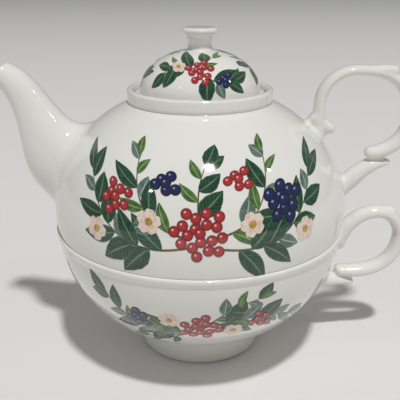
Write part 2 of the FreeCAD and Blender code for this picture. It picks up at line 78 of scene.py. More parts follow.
GLAZE_FLOW = glaze_flow()


def glossy(name):
    """A material with the gloss of the clear glaze, and its skin, which still has no colour."""
    material = bpy.data.materials.new(name)
    material.use_nodes = True
    skin = material.node_tree.nodes["Principled BSDF"]
    skin.inputs["Roughness"].default_value = GLAZE_ROUGHNESS
    skin.inputs["IOR"].default_value = GLAZE_IOR
    skin.inputs["Coat Weight"].default_value = GLAZE_COAT
    skin.inputs["Coat Roughness"].default_value = GLAZE_COAT_ROUGHNESS
    return material, skin


def glaze_material(name, pale, deep):
    """White ware under a clear glossy glaze, a little creamier where the glaze lies thicker."""
    material, skin = glossy(name)
    nodes, links = material.node_tree.nodes, material.node_tree.links
    flow = nodes.new("ShaderNodeGroup")
    flow.node_tree = GLAZE_FLOW
    flow.inputs["Scale"].default_value = WAVE_SCALE
    tint = nodes.new("ShaderNodeMix")
    tint.data_type = "RGBA"
    tint.inputs["A"].default_value = (*pale, 1.0)
    tint.inputs["B"].default_value = (*deep, 1.0)
    links.new(flow.outputs["Pooling"], tint.inputs["Factor"])
    links.new(tint.outputs["Result"], skin.inputs["Base Color"])
    wave = nodes.new("ShaderNodeBump")
    wave.inputs["Strength"].default_value = WAVE_STRENGTH
    wave.inputs["Distance"].default_value = WAVE_HEIGHT
    links.new(flow.outputs["Height"], wave.inputs["Height"])
    links.new(wave.outputs["Normal"], skin.inputs["Normal"])
    return material


glaze = glaze_material("white_glaze", GLAZE_PALE, GLAZE_DEEP)


def pick_nothing():
    """Leaves edit mode and puts everything down."""
    if bpy.context.object and bpy.context.object.mode != "OBJECT":
        bpy.ops.object.mode_set(mode="OBJECT")
    bpy.ops.object.select_all(action="DESELECT")


def hold(piece):
    """Picks up one piece and nothing else."""
    pick_nothing()
    piece.select_set(True)
    bpy.context.view_layer.objects.active = piece


def one_of(parts):
    """Joins the parts into the first of them."""
    pick_nothing()
    for part in parts:
        part.select_set(True)
    bpy.context.view_layer.objects.active = parts[0]
    if len(parts) > 1:
        bpy.ops.object.join()
    return bpy.context.object


def cut_away(piece, tool):
    """Takes a tool's shape out of a piece, and the tool out of the scene."""
    cut = piece.modifiers.new("cut", "BOOLEAN")
    cut.operation = "DIFFERENCE"
    cut.solver = "EXACT"
    cut.object = tool
    hold(piece)
    bpy.ops.object.modifier_apply(modifier=cut.name)
    bpy.data.objects.remove(tool)


def settle(piece):
    """Puts the piece's place into its mesh, so that its object sits at the origin."""
    hold(piece)
    bpy.ops.object.transform_apply(location=True, rotation=True, scale=True)


def turned(name, outline):
    """Spins a profile, given as (radius, height) from the axis outside round to the axis."""
    pick_nothing()
    bpy.ops.mesh.primitive_plane_add(size=0.001, location=(0, 0, 0))
    piece = bpy.context.object
    piece.name = name
    bpy.ops.object.mode_set(mode="EDIT")
    work = bmesh.from_edit_mesh(piece.data)
    work.verts.ensure_lookup_table()
    bmesh.ops.delete(work, geom=list(work.verts)[1:], context="VERTS")
    work.verts.ensure_lookup_table()
    radius, height = outline[0]
    work.verts[0].co = (radius, 0.0, height)
    bmesh.update_edit_mesh(piece.data)
    for (r0, z0), (r1, z1) in zip(outline, outline[1:]):
        bpy.ops.mesh.extrude_region_move(TRANSFORM_OT_translate={"value": (r1 - r0, 0.0, z1 - z0)})
    bpy.ops.mesh.select_all(action="SELECT")
    bpy.ops.mesh.spin(steps=TURN_STEPS, angle=math.tau, center=(0, 0, 0), axis=(0, 0, 1))
    bpy.ops.mesh.select_all(action="SELECT")
    bpy.ops.mesh.remove_doubles(threshold=SEAM_MERGE)
    bpy.ops.mesh.normals_make_consistent(inside=False)
    bpy.ops.object.mode_set(mode="OBJECT")
    bpy.ops.object.shade_smooth()
    return piece


def bowed(radius, rise, centre, start, end, steps):
    """Points on an ellipse about the axis, from one angle to another (0 is level, 90 the pole)."""
    angles = [math.radians(start + (end - start) * n / steps) for n in range(steps + 1)]
    return [(radius * math.cos(a), centre + rise * math.sin(a)) for a in angles]


def one(radius, rise, centre, angle):
    """The point of such an ellipse at one angle."""
    return bowed(radius, rise, centre, angle, angle, 1)[0]


def plain(points):
    """Points of a profile that stay as they are."""
    return [(point, False) for point in points]


def eased(points, radius, steps=5):
    """Rounds the marked corners of a profile: those marked True with the given radius, and those
    marked with a number with that."""
    rounded = []
    for index, (point, corner) in enumerate(points):
        if not corner:
            rounded.append(point)
            continue
        here = Vector(point)
        back = Vector(points[index - 1][0]) - here
        on = Vector(points[index + 1][0]) - here
        wanted = radius if corner is True else corner
        reach = min(wanted, back.length * 0.49, on.length * 0.49)
        first, last = here + back.normalized() * reach, here + on.normalized() * reach
        for n in range(steps + 1):
            t = n / steps
            rounded.append(tuple((1 - t) ** 2 * first + 2 * t * (1 - t) * here + t * t * last))
    return rounded


def angle_at(radius, across, below=True):
    """The angle at which an ellipse of this radius is so far from the axis."""
    level = math.degrees(math.acos(across / radius))
    return -level if below else level


cup_foot_out = CUP_FOOT_RADIUS + CUP_FOOT_FLARE
cup_foot_in = CUP_FOOT_RADIUS - CUP_FOOT_WIDTH
crease = angle_at(CUP_RADIUS, cup_foot_out)
inner_crease = angle_at(CUP_RADIUS, cup_foot_in)
lip_angle = -math.degrees(math.asin(CUP_LIP_DROP / CUP_DEPTH))
lip_in = CUP_LIP_RADIUS - CUP_LIP_WIDTH
belly = CUP_HEIGHT - 0.5 * CUP_LIP_DROP
cup_outline = plain(bowed(CUP_RADIUS, CUP_DEPTH, CUP_HEIGHT, -90, inner_crease, 12)[:-1])
cup_outline += [(one(CUP_RADIUS, CUP_DEPTH, CUP_HEIGHT, inner_crease), True)]
cup_outline += [((cup_foot_in, 0.0), True), ((CUP_FOOT_RADIUS, 0.0), True)]
wall = bowed(CUP_RADIUS, CUP_DEPTH, CUP_HEIGHT, crease, lip_angle, 34)
cup_outline += [(wall[0], True)] + plain(wall[1:-1]) + [(wall[-1], True)]
cup_outline += [((CUP_LIP_RADIUS, belly), True), ((CUP_LIP_RADIUS, CUP_HEIGHT), CUP_SEAT_EDGE)]
cup_outline += [((lip_in, CUP_HEIGHT), True), ((lip_in, belly), True)]
hollow = bowed(CUP_RADIUS - CUP_WALL, CUP_DEPTH - CUP_WALL, CUP_HEIGHT, lip_angle, -90, 36)
cup_outline += plain(hollow)
cup_bowl = turned("cup_bowl", eased(cup_outline, CUP_EDGE))

BEND_STEPS, CAP_STEPS, ROUND_STEPS = 12, 6, 40


def bent(name, ovals, start_round, end_round):
    """A branch through ovals, each with its place out and up, heading, thickness and width, and
    with a round cap of the given reach at each end."""
    rings = []
    for (x0, z0, h0, t0, w0), (x1, z1, h1, t1, w1) in zip(ovals, ovals[1:]):
        chord = math.hypot(x1 - x0, z1 - z0)
        leave = chord * Vector((math.cos(math.radians(h0)), math.sin(math.radians(h0))))
        arrive = chord * Vector((math.cos(math.radians(h1)), math.sin(math.radians(h1))))
        first, last = Vector((x0, z0)), Vector((x1, z1))
        last_stretch = (x1, z1) == ovals[-1][:2]
        for n in range(BEND_STEPS + 1 if last_stretch else BEND_STEPS):
            t = n / BEND_STEPS
            place = (2 * t**3 - 3 * t**2 + 1) * first + (t**3 - 2 * t**2 + t) * leave
            place += (3 * t**2 - 2 * t**3) * last + (t**3 - t**2) * arrive
            run = (6 * t**2 - 6 * t) * (first - last) + (3 * t**2 - 4 * t + 1) * leave
            run += (3 * t**2 - 2 * t) * arrive
            share = t * t * (3 - 2 * t)
            rings.append((place, run.normalized(), t0 + (t1 - t0) * share, w0 + (w1 - w0) * share))
    ends = []
    for (place, run, thick, wide), out in ((rings[0], -start_round), (rings[-1], end_round)):
        cap = []
        for n in range(1, CAP_STEPS + 1):
            far, slim = math.sin(math.pi / 2 * n / CAP_STEPS), math.cos(math.pi / 2 * n / CAP_STEPS)
            cap.append((place + run * out * far, run, thick * slim, wide * slim))
        ends.append(cap)
    rings = ends[0][::-1] + rings + ends[1]
    pick_nothing()
    bpy.ops.mesh.primitive_uv_sphere_add(segments=ROUND_STEPS, ring_count=len(rings) - 1)
    piece = bpy.context.object
    piece.name = name
    for vertex in piece.data.vertices:
        level = math.acos(max(-1.0, min(1.0, vertex.co.z))) / math.pi
        place, run, thick, wide = rings[round(level * (len(rings) - 1))]
        turn = math.atan2(vertex.co.y, vertex.co.x)
        side = Vector((-run.y, run.x)) * (thick * math.cos(turn) / 2)
        vertex.co = (place.x + side.x, -wide * math.sin(turn) / 2, place.y + side.y)
    return piece


def boxed(piece, low, high):
    """Keeps what is left of a closed piece inside a box, with the cuts closed."""
    hold(piece)
    bpy.ops.object.mode_set(mode="EDIT")
    for axis in range(3):
        for side, limit in ((-1, low[axis]), (1, high[axis])):
            if limit is None:
                continue
            corner, normal = [0.0, 0.0, 0.0], [0.0, 0.0, 0.0]
            corner[axis], normal[axis] = limit, float(side)
            bpy.ops.mesh.select_all(action="SELECT")
            bpy.ops.mesh.bisect(
                plane_co=corner, plane_no=normal, use_fill=True, clear_outer=True, clear_inner=False
            )
    bpy.ops.object.mode_set(mode="OBJECT")
    return piece


def full_round(radius, rise, centre):
    """A solid ellipsoid about the axis."""
    pick_nothing()
    bpy.ops.mesh.primitive_uv_sphere_add(segments=160, ring_count=96, location=(0, 0, centre))
    piece = bpy.context.object
    piece.scale = (radius, radius, rise)
    settle(piece)
    return piece


# How a branch is joined to its wall: the grain of the even skin, how high over the wall its foot
# is looked for, and how far the wall's share sinks, near the foot and away from it.
SKIN_GRAIN, SKIN_PASSES = 0.0005, 8
FOOT_FROM, FOOT_TO = 0.0004, 0.0020
SINK_UNDER, SINK_NEAR, SINK_MORE = 0.0010, 0.00005, 0.0002
CUT_MERGE = 0.000002


def wall_depth(radius, rise, centre):
    """For a turned wall: how far a point stands out of it, and the way out."""

    def depth_at(point):
        across, up = math.hypot(point.x, point.y), point.z - centre
        share = math.hypot(across / radius, up / rise)
        outward = Vector((point.x / radius**2, point.y / radius**2, up / rise**2)).normalized()
        return (across * outward.xy.length + up * outward.z) * (1.0 - 1.0 / share), outward

    return depth_at


def grown(name, parts, vessel, wall, fillet, passes):
    """Joins branches and wall into one even skin with a fillet between them, sinks the wall's share
    of it into the turned wall, so that only the branch and its fillet show, and cuts it off half
    way through that wall."""
    radius, rise, centre = vessel
    depth_at = wall_depth(*vessel)
    piece = one_of(parts)
    piece.name = name
    skin = piece.modifiers.new("even_skin", "REMESH")
    skin.mode = "VOXEL"
    skin.voxel_size = SKIN_GRAIN
    soft = piece.modifiers.new("softened", "SMOOTH")
    soft.factor = 0.5
    soft.iterations = SKIN_PASSES
    for modifier in (skin.name, soft.name):
        bpy.ops.object.modifier_apply(modifier=modifier)
    placed = [depth_at(vertex.co) for vertex in piece.data.vertices]
    standing = [index for index, (depth, _) in enumerate(placed) if FOOT_FROM < depth < FOOT_TO]
    feet = KDTree(len(standing))
    for index in standing:
        feet.insert(piece.data.vertices[index].co, index)
    feet.balance()
    away = [feet.find(vertex.co)[2] / fillet for vertex in piece.data.vertices]
    near = piece.vertex_groups.new(name="near_foot")
    for vertex, (depth, _), far in zip(piece.data.vertices, placed, away):
        weight = 1.0 - (far if depth < FOOT_FROM else depth / fillet)
        if weight > 0.0 and depth > -0.5 * wall:
            near.add([vertex.index], weight, "REPLACE")
    round_off = piece.modifiers.new("fillet", "SMOOTH")
    round_off.factor = 0.5
    round_off.iterations = passes
    round_off.vertex_group = near.name
    bpy.ops.object.modifier_apply(modifier=round_off.name)
    for vertex, far in zip(piece.data.vertices, away):
        depth, outward = depth_at(vertex.co)
        if depth < SINK_UNDER:
            low = min(1.0, 1.0 - depth / SINK_UNDER)
            sink = SINK_NEAR + SINK_MORE * max(0.0, min(1.0, 3.0 * far - 2.0))
            vertex.co -= outward * low * sink
    cut_away(piece, full_round(radius - 0.5 * wall, rise - 0.5 * wall, centre))
    bpy.ops.object.mode_set(mode="EDIT")
    bpy.ops.mesh.select_all(action="SELECT")
    bpy.ops.mesh.remove_doubles(threshold=CUT_MERGE)
    bpy.ops.mesh.fill_holes(sides=8)
    bpy.ops.mesh.delete_loose()
    bpy.ops.object.mode_set(mode="OBJECT")
    bpy.ops.object.shade_smooth()
    return piece


CUP_LOOP = [
    (0.0618, 0.0465, 88, 0.0076, 0.0092), (0.0644, 0.0520, 66, 0.0070, 0.0090),
    (0.0686, 0.0566, 42, 0.0062, 0.0086), (0.0780, 0.0603, 2, 0.0060, 0.0084),
    (0.0852, 0.0576, -45, 0.0059, 0.0084), (0.0889, 0.0495, -90, 0.0059, 0.0084),
    (0.0845, 0.0371, -135, 0.0060, 0.0086), (0.0758, 0.0323, -166, 0.0062, 0.0086),
    (0.0704, 0.0315, -176, 0.0061, 0.0084), (0.0638, 0.0317, -186, 0.0050, 0.0076),
]
CUP_SPUR = [(0.0750, 0.0602, 4, 0.0050, 0.0078), (0.0842, 0.0604, -4, 0.0052, 0.0076)]
CUP_STUB = [
    (0.0470, 0.0262, 6, 0.0092, 0.0100), (0.0590, 0.0272, 2, 0.0066, 0.0090),
    (0.0690, 0.0262, -10, 0.0030, 0.0060),
]
CUP_ROOT_LOW, CUP_ROOT_HIGH = (0.044, -0.012, 0.018), (None, 0.012, 0.0545)
CUP_FILLET, CUP_FILLET_PASSES = 0.0050, 70
cup_vessel = (CUP_RADIUS, CUP_DEPTH, CUP_HEIGHT)
cup_branches = [
    boxed(full_round(*cup_vessel), CUP_ROOT_LOW, CUP_ROOT_HIGH),
    bent("cup_loop", CUP_LOOP, 0.0045, 0.0027),
    bent("cup_spur", CUP_SPUR, 0.0020, 0.0022),
    bent("cup_stub", CUP_STUB, 0.0010, 0.0014),
]
cup_handle = grown(
    "cup_handle", cup_branches, cup_vessel, CUP_WALL, CUP_FILLET, CUP_FILLET_PASSES
)

biscuit = bpy.data.materials.new("unglazed_ware")
biscuit.use_nodes = True
biscuit_skin = biscuit.node_tree.nodes["Principled BSDF"]
biscuit_skin.inputs["Base Color"].default_value = (*BISCUIT_COLOUR, 1.0)
biscuit_skin.inputs["Roughness"].default_value = BISCUIT_ROUGHNESS


BARE_REACH = 0.0003


def glazed(piece, bare_below=None):
    """Glazes a piece of the set, but for the flat underside of a ring that it was fired on."""
    piece.data.materials.append(glaze)
    if bare_below is not None:
        piece.data.materials.append(biscuit)
        for face in piece.data.polygons:
            if face.center.z < bare_below and face.normal.z < -0.9:
                face.material_index = 1
    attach(piece, "root")


glazed(cup_bowl, bare_below=BARE_REACH)
glazed(cup_handle)
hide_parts("cup")

# The teapot: a round shoulder on a shallow base that drops into the cup, with a raised ring round
# the mouth. Slip-cast and glazed as the cup is, with a branch handle and a gooseneck spout stuck on
# with slip, and holes through the wall behind the spout that keep the leaves back.
POT_RADIUS, POT_WAIST, POT_WALL = 0.0618, 0.0660, 0.0032
POT_SHOULDER, POT_BASE = 0.0497, 0.0202
POT_FOOT_RADIUS, POT_FOOT_WIDTH, POT_FOOT_HEIGHT = 0.0360, 0.0026, 0.0440
GALLERY_RADIUS, GALLERY_WIDTH, GALLERY_UNDERCUT = 0.0300, 0.0028, 0.0007
GALLERY_FOOT, GALLERY_TOP, LEDGE_HEIGHT, MOUTH_RADIUS = 0.1106, 0.1151, 0.1110, 0.0235
POT_EDGE, POT_SEAT_EDGE = 0.0013, 0.0005
foot_in = POT_FOOT_RADIUS - POT_FOOT_WIDTH
base_in, base_out = angle_at(POT_RADIUS, foot_in), angle_at(POT_RADIUS, POT_FOOT_RADIUS)
base_end = -math.degrees(math.asin((POT_WAIST - CUP_HEIGHT) / POT_BASE))
seat = -math.degrees(math.asin((POT_WAIST - CUP_HEIGHT) / POT_SHOULDER))
shoulder_end = angle_at(POT_RADIUS, GALLERY_RADIUS - GALLERY_UNDERCUT, below=False)
inside, shoulder_in = POT_RADIUS - POT_WALL, POT_SHOULDER - POT_WALL
mouth_angle = angle_at(inside, MOUTH_RADIUS, below=False)
gallery_in = GALLERY_RADIUS - GALLERY_WIDTH
pot_outline = plain(bowed(POT_RADIUS, POT_BASE, POT_WAIST, -90, base_in, 12)[:-1])
pot_outline += [(one(POT_RADIUS, POT_BASE, POT_WAIST, base_in), True)]
pot_outline += [((foot_in, POT_FOOT_HEIGHT), True), ((POT_FOOT_RADIUS, POT_FOOT_HEIGHT), True)]
base = bowed(POT_RADIUS, POT_BASE, POT_WAIST, base_out, base_end, 10)
pot_outline += [(base[0], True)] + plain(base[1:])
shoulder = bowed(POT_RADIUS, POT_SHOULDER, POT_WAIST, seat, shoulder_end, 48)
pot_outline += [(shoulder[0], POT_SEAT_EDGE)] + plain(shoulder[1:-1]) + [(shoulder[-1], True)]
pot_outline += [((GALLERY_RADIUS, GALLERY_FOOT), True), ((GALLERY_RADIUS, GALLERY_TOP), True)]
pot_outline += [((gallery_in, GALLERY_TOP), True), ((gallery_in, LEDGE_HEIGHT), True)]
pot_outline += [((MOUTH_RADIUS, LEDGE_HEIGHT), True)]
pot_hollow = bowed(inside, shoulder_in, POT_WAIST, mouth_angle, 0, 36)
pot_outline += [(pot_hollow[0], True)] + plain(pot_hollow[1:])
pot_outline += plain(bowed(inside, POT_BASE - POT_WALL, POT_WAIST, 0, -90, 24)[1:])
pot_body = turned("pot_body", eased(pot_outline, POT_EDGE))


def cut_from(node, low, high):
    """The part of a cast piece inside a box, as a copy of its own."""
    pick_nothing()
    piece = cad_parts[node].copy()
    piece.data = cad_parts[node].data.copy()
    bpy.context.scene.collection.objects.link(piece)
    piece.parent = None
    piece.matrix_world = Matrix.Identity(4)
    piece.data.materials.clear()
    hold(piece)
    bpy.ops.object.mode_set(mode="EDIT")
    bpy.ops.mesh.select_all(action="SELECT")
    bpy.ops.mesh.remove_doubles(threshold=CUT_MERGE)
    bpy.ops.object.mode_set(mode="OBJECT")
    return boxed(piece, low, high)


POT_LOOP = [
    (0.0494, 0.0930, 90, 0.0062, 0.0092), (0.0495, 0.1000, 90, 0.0056, 0.0088),
    (0.0496, 0.1080, 90, 0.0050, 0.0084), (0.0535, 0.1175, 45, 0.0048, 0.0082),
    (0.0628, 0.1218, 3, 0.0046, 0.0080), (0.0706, 0.1215, -6, 0.0048, 0.0080),
    (0.0823, 0.1163, -45, 0.0050, 0.0082), (0.0877, 0.1040, -90, 0.0056, 0.0084),
    (0.0834, 0.0919, -135, 0.0062, 0.0086), (0.0774, 0.0881, -160, 0.0061, 0.0084),
    (0.0726, 0.0871, -174, 0.0055, 0.0080),
]
POT_SPUR = [(0.0660, 0.1217, 0, 0.0043, 0.0076), (0.0786, 0.1219, -2, 0.0047, 0.0076)]
POT_THORN = [(0.0470, 0.1030, -48, 0.0066, 0.0086), (0.0541, 0.0976, -38, 0.0055, 0.0076)]
POT_STUB = [
    (0.0548, 0.0654, 48, 0.0094, 0.0100), (0.0650, 0.0752, 44, 0.0080, 0.0092),
    (0.0722, 0.0811, 30, 0.0066, 0.0084), (0.0797, 0.0830, 10, 0.0030, 0.0054),
]
POT_ROOT_LOW, POT_ROOT_HIGH = (0.036, -0.012, 0.0590), (None, 0.012, 0.1080)
SPOUT_LOW, SPOUT_HIGH = (None, -0.030, 0.0590), (-0.0300, 0.030, 0.1270)
POT_FILLET, POT_FILLET_PASSES = 0.0060, 90
SPOUT_FILLET, SPOUT_FILLET_PASSES = 0.0130, 600
pot_vessel = (POT_RADIUS, POT_SHOULDER, POT_WAIST)
pot_branches = [
    boxed(full_round(*pot_vessel), POT_ROOT_LOW, POT_ROOT_HIGH),
    bent("pot_loop", POT_LOOP, 0.0010, 0.0028),
    bent("pot_spur", POT_SPUR, 0.0020, 0.0027),
    bent("pot_thorn", POT_THORN, 0.0010, 0.0026),
    bent("pot_stub", POT_STUB, 0.0010, 0.0016),
]
pot_handle = grown(
    "pot_handle", pot_branches, pot_vessel, POT_WALL, POT_FILLET, POT_FILLET_PASSES
)
pot_channel = cut_from("teapot", SPOUT_LOW, SPOUT_HIGH)
pot_spout = grown(
    "pot_spout", [pot_channel], pot_vessel, POT_WALL, SPOUT_FILLET, SPOUT_FILLET_PASSES
)

STRAINER_AT, STRAINER_HEADING = Vector((-0.0545, 0.0, 0.0825)), math.radians(155.0)
STRAINER_PITCH, STRAINER_HOLE, STRAINER_REACH = 0.0064, 0.0019, 0.0110


def drilled(piece, holes, radius, depth):
    """Cuts round holes through a wall, each given as its middle and the way that it runs."""
    pick_nothing()
    drills = []
    for middle, way in holes:
        bpy.ops.mesh.primitive_cylinder_add(vertices=32, radius=radius, depth=depth)
        drill = bpy.context.object
        drill.location = middle
        drill.rotation_euler = way.to_track_quat("Z", "Y").to_euler()
        drills.append(drill)
    cut_away(piece, one_of(drills))


through = Vector((math.cos(STRAINER_HEADING), 0.0, math.sin(STRAINER_HEADING)))
upward = Vector((math.sin(STRAINER_HEADING), 0.0, -math.cos(STRAINER_HEADING)))
spots = [(0.0, 0.0), (2.0, 0.0), (-2.0, 0.0)]
spots += [(math.sin(math.radians(a)), math.cos(math.radians(a))) for a in range(0, 360, 60)]
strainer = []
for up, beside in spots:
    spot = STRAINER_PITCH * (up * upward + beside * Vector((0, 1, 0)))
    strainer.append((STRAINER_AT + spot, through))
drilled(pot_body, strainer, STRAINER_HOLE, STRAINER_REACH)

glazed(pot_body, bare_below=POT_FOOT_HEIGHT + BARE_REACH)
glazed(pot_handle)
glazed(pot_spout)
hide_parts("teapot")

# The lid: a hollow dome on a flange that drops inside the ring, with a skirt that keeps it there,
# a vent hole at the back and a waisted knob. Cast in one and glazed as the rest is.
DOME_RADIUS, DOME_RISE, DOME_THICK = 0.0247, 0.0174, 0.0030
FLANGE_THICK, LID_GAP = 0.0022, 0.0003
SKIRT_GAP, SKIRT_WALL, SKIRT_DEPTH = 0.0006, 0.0023, 0.0065
NECK_RADIUS, NECK_FOOT_RADIUS, NECK_RISE = 0.0048, 0.0052, 0.0190
FLARE, FLARE_START = 0.0057, -17.5
KNOB_RADIUS, KNOB_TOP_RISE = 0.0074, 0.0066
KNOB_RIM, KNOB_BEAD, KNOB_DISH = 0.0016, 0.0012, 0.0002
VENT_SIDE, VENT_BACK, VENT_RADIUS = 0.0042, 0.0118, 0.0012
LID_EDGE, FLARE_STEPS = 0.0010, 12
datum = LEDGE_HEIGHT + FLANGE_THICK
skirt = MOUTH_RADIUS - SKIRT_GAP
skirt_in = skirt - SKIRT_WALL
flange = gallery_in - LID_GAP
neck_height = datum + NECK_RISE
flare_centre = NECK_RADIUS + FLARE
flare_top = math.degrees(math.asin((KNOB_TOP_RISE - 1.8 * KNOB_BEAD) / FLARE))
lid_outline = plain(bowed(skirt_in, DOME_RISE - DOME_THICK, datum, 90, 0, 24))
skirt_end = LEDGE_HEIGHT - SKIRT_DEPTH
lid_outline += [((skirt_in, skirt_end), True), ((skirt, skirt_end), True)]
lid_outline += [((skirt, LEDGE_HEIGHT), True), ((flange, LEDGE_HEIGHT), True)]
lid_outline += [((flange, datum), True)]
neck_angle = angle_at(DOME_RADIUS, NECK_FOOT_RADIUS, below=False)
dome = bowed(DOME_RADIUS, DOME_RISE, datum, 0, neck_angle, 36)
lid_outline += [(dome[0], True)] + plain(dome[1:-1]) + [(dome[-1], True)]
for n in range(1, FLARE_STEPS + 1):
    angle = math.radians(FLARE_START + (flare_top - FLARE_START) * n / FLARE_STEPS)
    reach = flare_centre - FLARE * math.cos(angle)
    lid_outline += [((reach, neck_height + FLARE * math.sin(angle)), False)]
bead = bowed(KNOB_RIM, KNOB_BEAD, neck_height + KNOB_TOP_RISE - KNOB_BEAD, -48, 90, 12)
lid_outline += plain((KNOB_RADIUS - KNOB_RIM + across, up) for across, up in bead)
lid_outline += [((0.0, neck_height + KNOB_TOP_RISE - KNOB_DISH), False)]
lid_dome = turned("lid_dome", eased(lid_outline, LID_EDGE))
vent = Vector((VENT_SIDE, VENT_BACK, datum + DOME_RISE / 2))
drilled(lid_dome, [(vent, Vector((0, 0, 1)))], VENT_RADIUS, DOME_RISE)

glazed(lid_dome)
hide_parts("lid")

# The print: a transfer of sprays, berries and blossoms on the white ware, under the clear glaze. It
# is drawn flat, in its own width and height, and then laid round each vessel, front and back.
PRINT_LIFT, LAYER, PRINT_THICKNESS = 0.00005, 0.000011, 0.00012
QUARTER_STEPS = 400


def print_material(name, shade):
    """A printed colour under the same glaze; shade links its colour to the given socket."""
    material, skin = glossy(name)
    shade(material.node_tree.nodes, material.node_tree.links, skin.inputs["Base Color"])
    return material


def worked(nodes, links, kind, first, second=None, third=None, clamp=False):
    """One sum on values or sockets, and the socket that it comes out of."""
    node = nodes.new("ShaderNodeMath")
    node.operation = kind
    node.use_clamp = clamp
    for socket, value in zip(node.inputs, (first, second, third)):
        if isinstance(value, (int, float)):
            socket.default_value = value
        elif value is not None:
            links.new(value, socket)
    return node.outputs[0]


def steeper(nodes, links, value, gain, offset):
    """A soft mask drawn out to full black and white."""
    return worked(nodes, links, "MULTIPLY_ADD", value, gain, offset, clamp=True)


def mixed(nodes, links, share, one_colour, other_colour):
    """Two colours or colour sockets mixed by a mask."""
    node = nodes.new("ShaderNodeMix")
    node.data_type = "RGBA"
    links.new(share, node.inputs["Factor"])
    for socket, colour in (("A", one_colour), ("B", other_colour)):
        if isinstance(colour, tuple):
            node.inputs[socket].default_value = (*colour, 1.0)
        else:
            links.new(colour, node.inputs[socket])
    return node.outputs["Result"]


def leaf_shade(dark, mid, vein):
    """Washes of green by patches, a pale midrib and side veins, and a lighter edge."""

    def shade(nodes, links, socket):
        spread = nodes.new("ShaderNodeUVMap")
        parts = nodes.new("ShaderNodeSeparateXYZ")
        links.new(spread.outputs["UV"], parts.inputs["Vector"])
        along, beside = parts.outputs["X"], parts.outputs["Y"]
        off = worked(nodes, links, "ABSOLUTE", worked(nodes, links, "SUBTRACT", beside, 0.5))
        place = nodes.new("ShaderNodeTexCoord")
        patch = nodes.new("ShaderNodeTexNoise")
        patch.inputs["Scale"].default_value = 420.0
        patch.inputs["Detail"].default_value = 3.0
        links.new(place.outputs["Object"], patch.inputs["Vector"])
        wash = steeper(nodes, links, patch.outputs["Fac"], 3.2, -1.15)
        body = mixed(nodes, links, wash, dark, mid)
        lean = worked(nodes, links, "MULTIPLY", off, 0.5)
        slant = worked(nodes, links, "SUBTRACT", along, lean)
        comb = worked(nodes, links, "SINE", worked(nodes, links, "MULTIPLY", slant, 48.0))
        ribs = worked(nodes, links, "MULTIPLY", steeper(nodes, links, comb, 3.0, -2.3), 0.55)
        middle = worked(nodes, links, "LESS_THAN", off, 0.045)
        edge = worked(nodes, links, "GREATER_THAN", off, 0.455)
        rim = worked(nodes, links, "MULTIPLY", edge, 0.5)
        veins = worked(nodes, links, "MAXIMUM", ribs, middle)
        marks = worked(nodes, links, "MAXIMUM", veins, rim)
        links.new(mixed(nodes, links, marks, body, vein), socket)

    return shade


def berry_shade(skin_colour, shadow, shine):
    """A round berry: dark at its rim, with one pale fleck of light."""

    def shade(nodes, links, socket):
        spread = nodes.new("ShaderNodeUVMap")
        middle = nodes.new("ShaderNodeVectorMath")
        middle.operation = "DISTANCE"
        middle.inputs[1].default_value = (0.5, 0.5, 0.0)
        fleck = nodes.new("ShaderNodeVectorMath")
        fleck.operation = "DISTANCE"
        fleck.inputs[1].default_value = (0.38, 0.64, 0.0)
        links.new(spread.outputs["UV"], middle.inputs[0])
        links.new(spread.outputs["UV"], fleck.inputs[0])
        rim = steeper(nodes, links, middle.outputs["Value"], 4.0, -1.1)
        body = mixed(nodes, links, rim, skin_colour, shadow)
        light = worked(nodes, links, "LESS_THAN", fleck.outputs["Value"], 0.1)
        links.new(mixed(nodes, links, light, body, shine), socket)

    return shade


def wash_shade(one_colour, other_colour, scale):
    """Two close colours in small soft patches."""

    def shade(nodes, links, socket):
        place = nodes.new("ShaderNodeTexCoord")
        patch = nodes.new("ShaderNodeTexNoise")
        patch.inputs["Scale"].default_value = scale
        links.new(place.outputs["Object"], patch.inputs["Vector"])
        wash = steeper(nodes, links, patch.outputs["Fac"], 3.0, -1.0)
        links.new(mixed(nodes, links, wash, one_colour, other_colour), socket)

    return shade


INKS = {
    "leaf_deep": print_material(
        "leaf_deep", leaf_shade((0.003, 0.026, 0.016), (0.012, 0.075, 0.036), (0.11, 0.22, 0.10))
    ),
    "leaf_bright": print_material(
        "leaf_bright", leaf_shade((0.02, 0.085, 0.022), (0.08, 0.20, 0.045), (0.32, 0.42, 0.14))
    ),
    "leaf_grey": print_material(
        "leaf_grey", leaf_shade((0.05, 0.10, 0.09), (0.13, 0.20, 0.17), (0.38, 0.44, 0.37))
    ),
    "twig": print_material("twig", wash_shade((0.09, 0.05, 0.025), (0.2, 0.16, 0.06), 500.0)),
    "berry_red": print_material(
        "berry_red", berry_shade((0.42, 0.03, 0.032), (0.13, 0.006, 0.010), (0.85, 0.45, 0.42))
    ),
    "berry_navy": print_material(
        "berry_navy", berry_shade((0.010, 0.016, 0.085), (0.002, 0.003, 0.016), (0.25, 0.3, 0.5))
    ),
    "petal": print_material("petal", wash_shade((0.80, 0.72, 0.60), (0.72, 0.50, 0.44), 700.0)),
    "pollen": print_material("pollen", wash_shade((0.55, 0.38, 0.08), (0.36, 0.2, 0.05), 900.0)),
}


def leaf_pattern(name, length, width, bend, wave, ink):
    """One flat leaf, its stalk end at the origin and its tip along +X, facing -Y."""
    pick_nothing()
    bpy.ops.mesh.primitive_grid_add(x_subdivisions=16, y_subdivisions=4, size=1.0)
    leaf = bpy.context.object
    leaf.name = name
    for vertex in leaf.data.vertices:
        along = vertex.co.x + 0.5
        half = math.sin(math.pi * along**0.82) ** 0.9 * (1.0 + wave * math.sin(along * 26.0))
        beside = vertex.co.y * 2.0 * half * width / 2.0
        spine = bend * length * along * (1.0 - along) * 4.0
        vertex.co = (along * length, 0.0, beside + spine)
    leaf.data.materials.append(INKS[ink])
    return leaf


